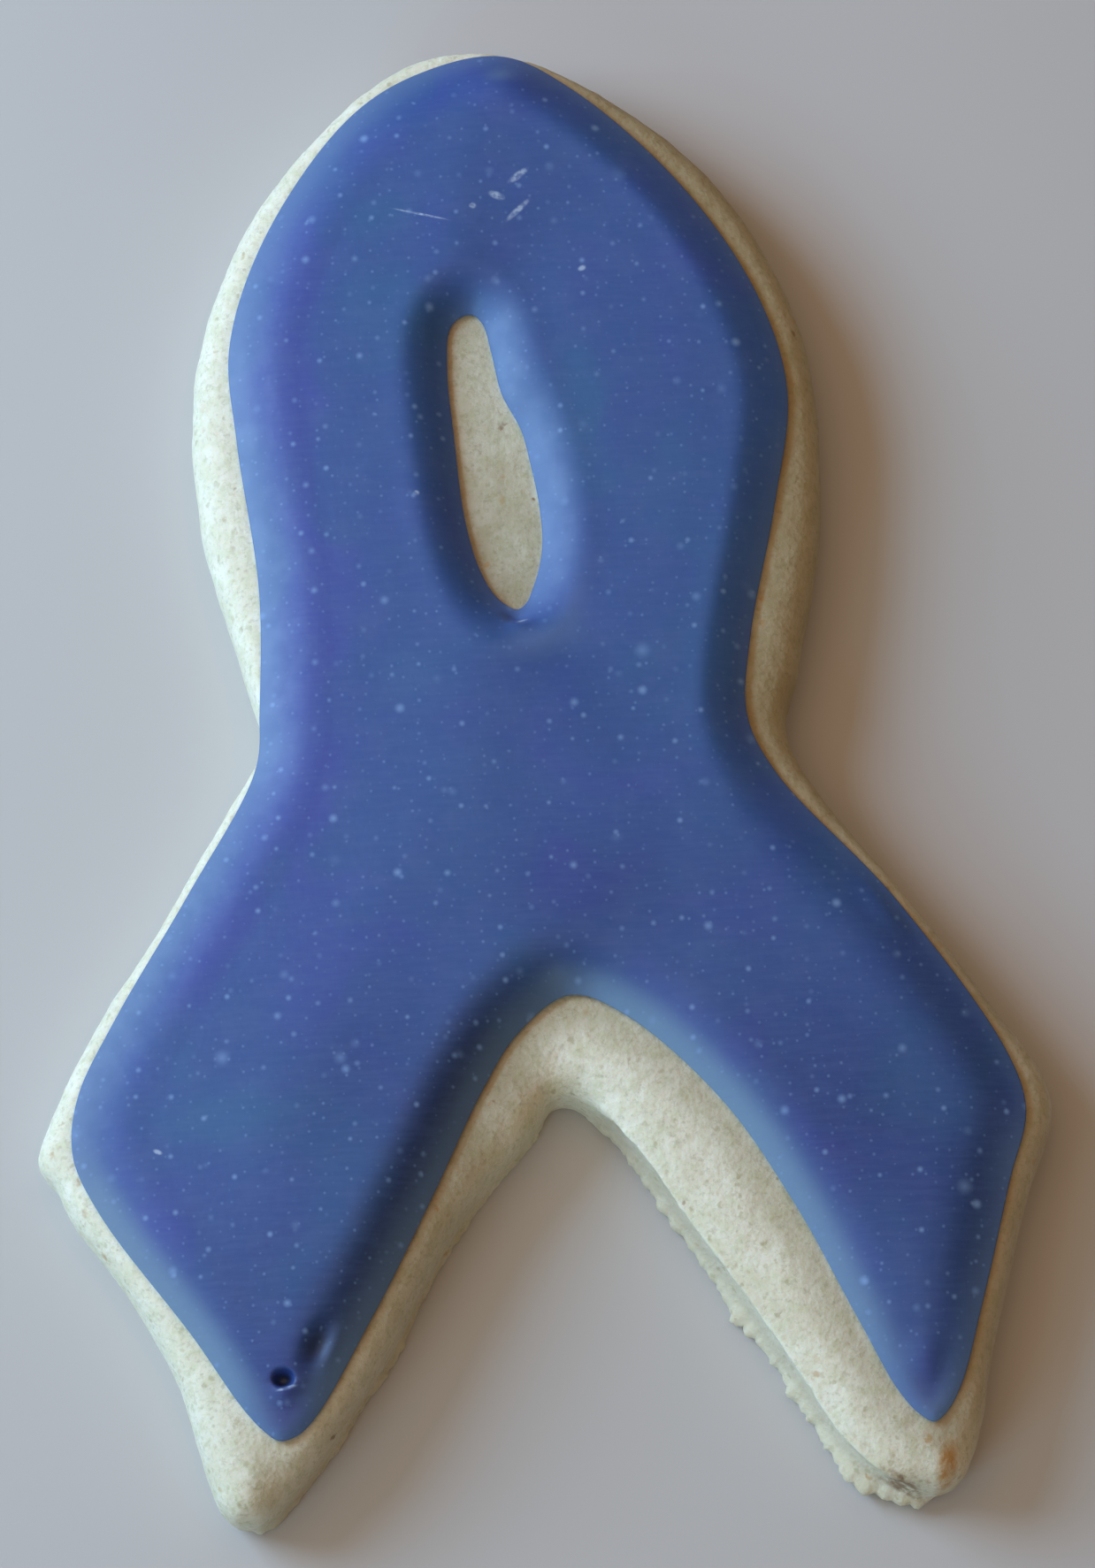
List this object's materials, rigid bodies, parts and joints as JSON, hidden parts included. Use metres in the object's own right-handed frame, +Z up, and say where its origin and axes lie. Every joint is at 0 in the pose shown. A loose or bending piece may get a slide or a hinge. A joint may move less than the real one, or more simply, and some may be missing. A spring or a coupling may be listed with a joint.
{
  "type": "iced sugar cookie",
  "caption": "Ribbon-shaped iced sugar cookie to eat: a pale baked biscuit with a rounded loop and spread legs, under smooth blue icing that leaves a slot and a bare rim.",
  "frame": {"origin": "middle of the cookie's outline, on the surface that it rests on", "axes": "+Z up out of the icing, +Y from the legs towards the loop, +X to the right seen from above with the loop at the top"},
  "size_m": [0.0632, 0.0966, 0.0093],
  "materials": {
    "biscuit": "matte pale baked dough with a fine crumb, small pits and a few golden brown specks",
    "icing": "smooth satin set icing, steel blue mottled with indigo and sprinkled with fine paler specks"
  },
  "bodies": {
    "root": {"biscuit": "biscuit", "icing": "icing"}
  },
  "joints": []
}
